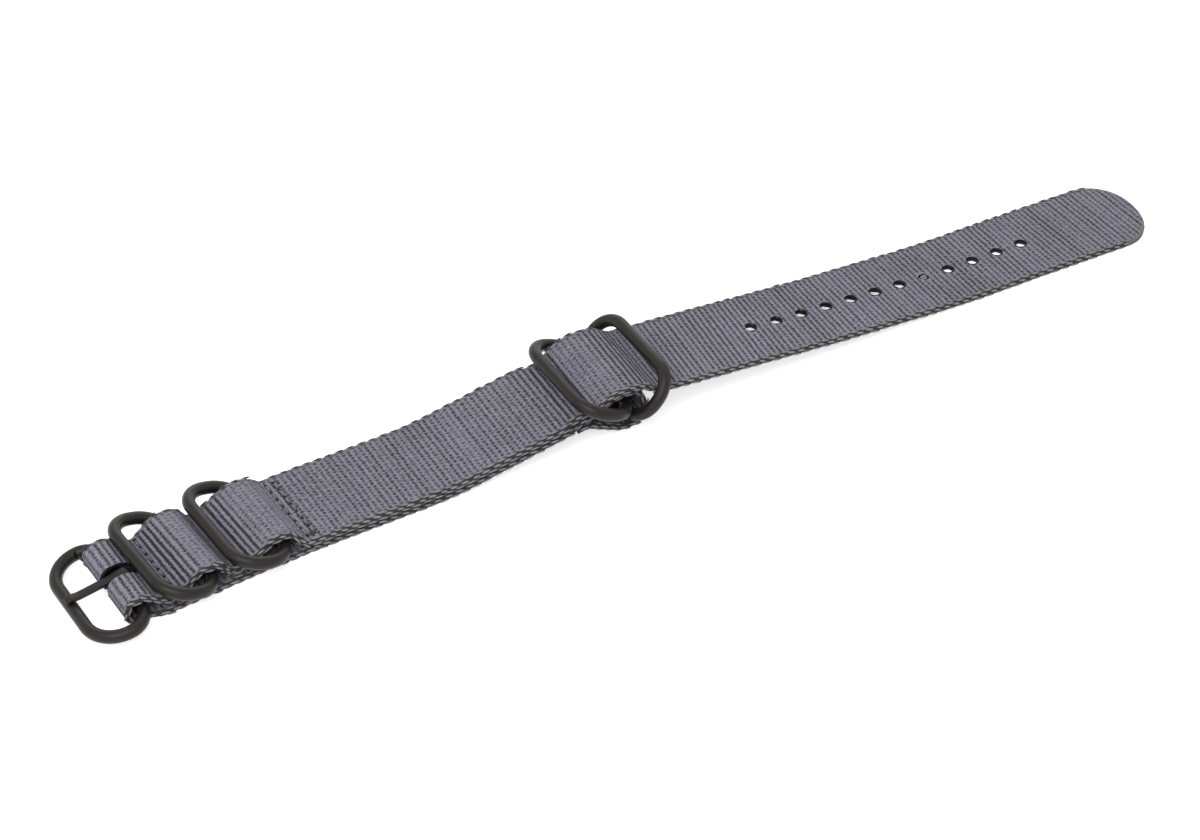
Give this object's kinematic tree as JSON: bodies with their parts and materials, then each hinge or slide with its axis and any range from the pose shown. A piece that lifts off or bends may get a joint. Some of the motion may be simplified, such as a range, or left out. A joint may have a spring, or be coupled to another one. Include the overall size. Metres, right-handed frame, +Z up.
{
  "type": "watch strap",
  "caption": "Woven webbing watch strap with a pin buckle, keeper rings sewn in pockets, and head rings in a sewn loop, lying open and flat.",
  "frame": {"origin": "on the table, under the middle of the strap's box", "axes": "+X from the buckle to the tip of the tail, +Y across the webbing, +Z up from the table"},
  "size_m": [0.257, 0.0318, 0.0132],
  "materials": {
    "webbing": "ribbed woven nylon, matte",
    "dark_steel": "dark coated steel, satin",
    "thread": "sewing thread"
  },
  "bodies": {
    "webbing": {"long_strap": "webbing", "short_strap": "webbing", "loop_seam_needle_thread": "thread", "loop_seam_bobbin_thread": "thread", "valley_seam_needle_thread": "thread", "valley_seam_bobbin_thread": "thread", "joining_seam_left_needle_thread": "thread", "joining_seam_left_bobbin_thread": "thread", "joining_seam_right_needle_thread": "thread", "joining_seam_right_bobbin_thread": "thread", "head_seam_needle_thread": "thread", "head_seam_bobbin_thread": "thread"},
    "buckle": {"buckle_frame": "dark_steel"},
    "tongue": {"buckle_tongue": "dark_steel"},
    "keeper_inner": {"keeper_ring_inner": "dark_steel"},
    "keeper_outer": {"keeper_ring_outer": "dark_steel"},
    "head_left": {"head_ring_left": "dark_steel"},
    "head_right": {"head_ring_right": "dark_steel"}
  },
  "joints": [
    {"name": "buckle_hinge", "type": "hinge", "parent": "webbing", "child": "buckle", "pos_m": [-0.1164, -0.0011, 0.00295], "axis": [-0.0169, 0.9999, 0], "range_deg": [0, 45]},
    {"name": "tongue_hinge", "type": "hinge", "parent": "buckle", "child": "tongue", "pos_m": [-0.1164, -0.0011, 0.00295], "axis": [-0.0169, 0.9999, 0], "range_deg": [0, 55]},
    {"name": "keeper_inner_hinge", "type": "hinge", "parent": "webbing", "child": "keeper_inner", "pos_m": [-0.10131, 0.00013, 0.00295], "axis": [-0.072, 0.9974, 0], "range_deg": [0, 55]},
    {"name": "keeper_outer_hinge", "type": "hinge", "parent": "webbing", "child": "keeper_outer", "pos_m": [-0.0849, 0.00111, 0.00295], "axis": [-0.0447, 0.999, 0], "range_deg": [0, 55]},
    {"name": "head_left_hinge", "type": "hinge", "parent": "webbing", "child": "head_left", "pos_m": [-0.0066, 0.00141, 0.0061], "axis": [0, 1, 0], "range_deg": [0, 45]},
    {"name": "head_right_hinge", "type": "hinge", "parent": "webbing", "child": "head_right", "pos_m": [-0.0056, 0.00141, 0.0031], "axis": [0, -1, 0], "range_deg": [0, 25]}
  ]
}
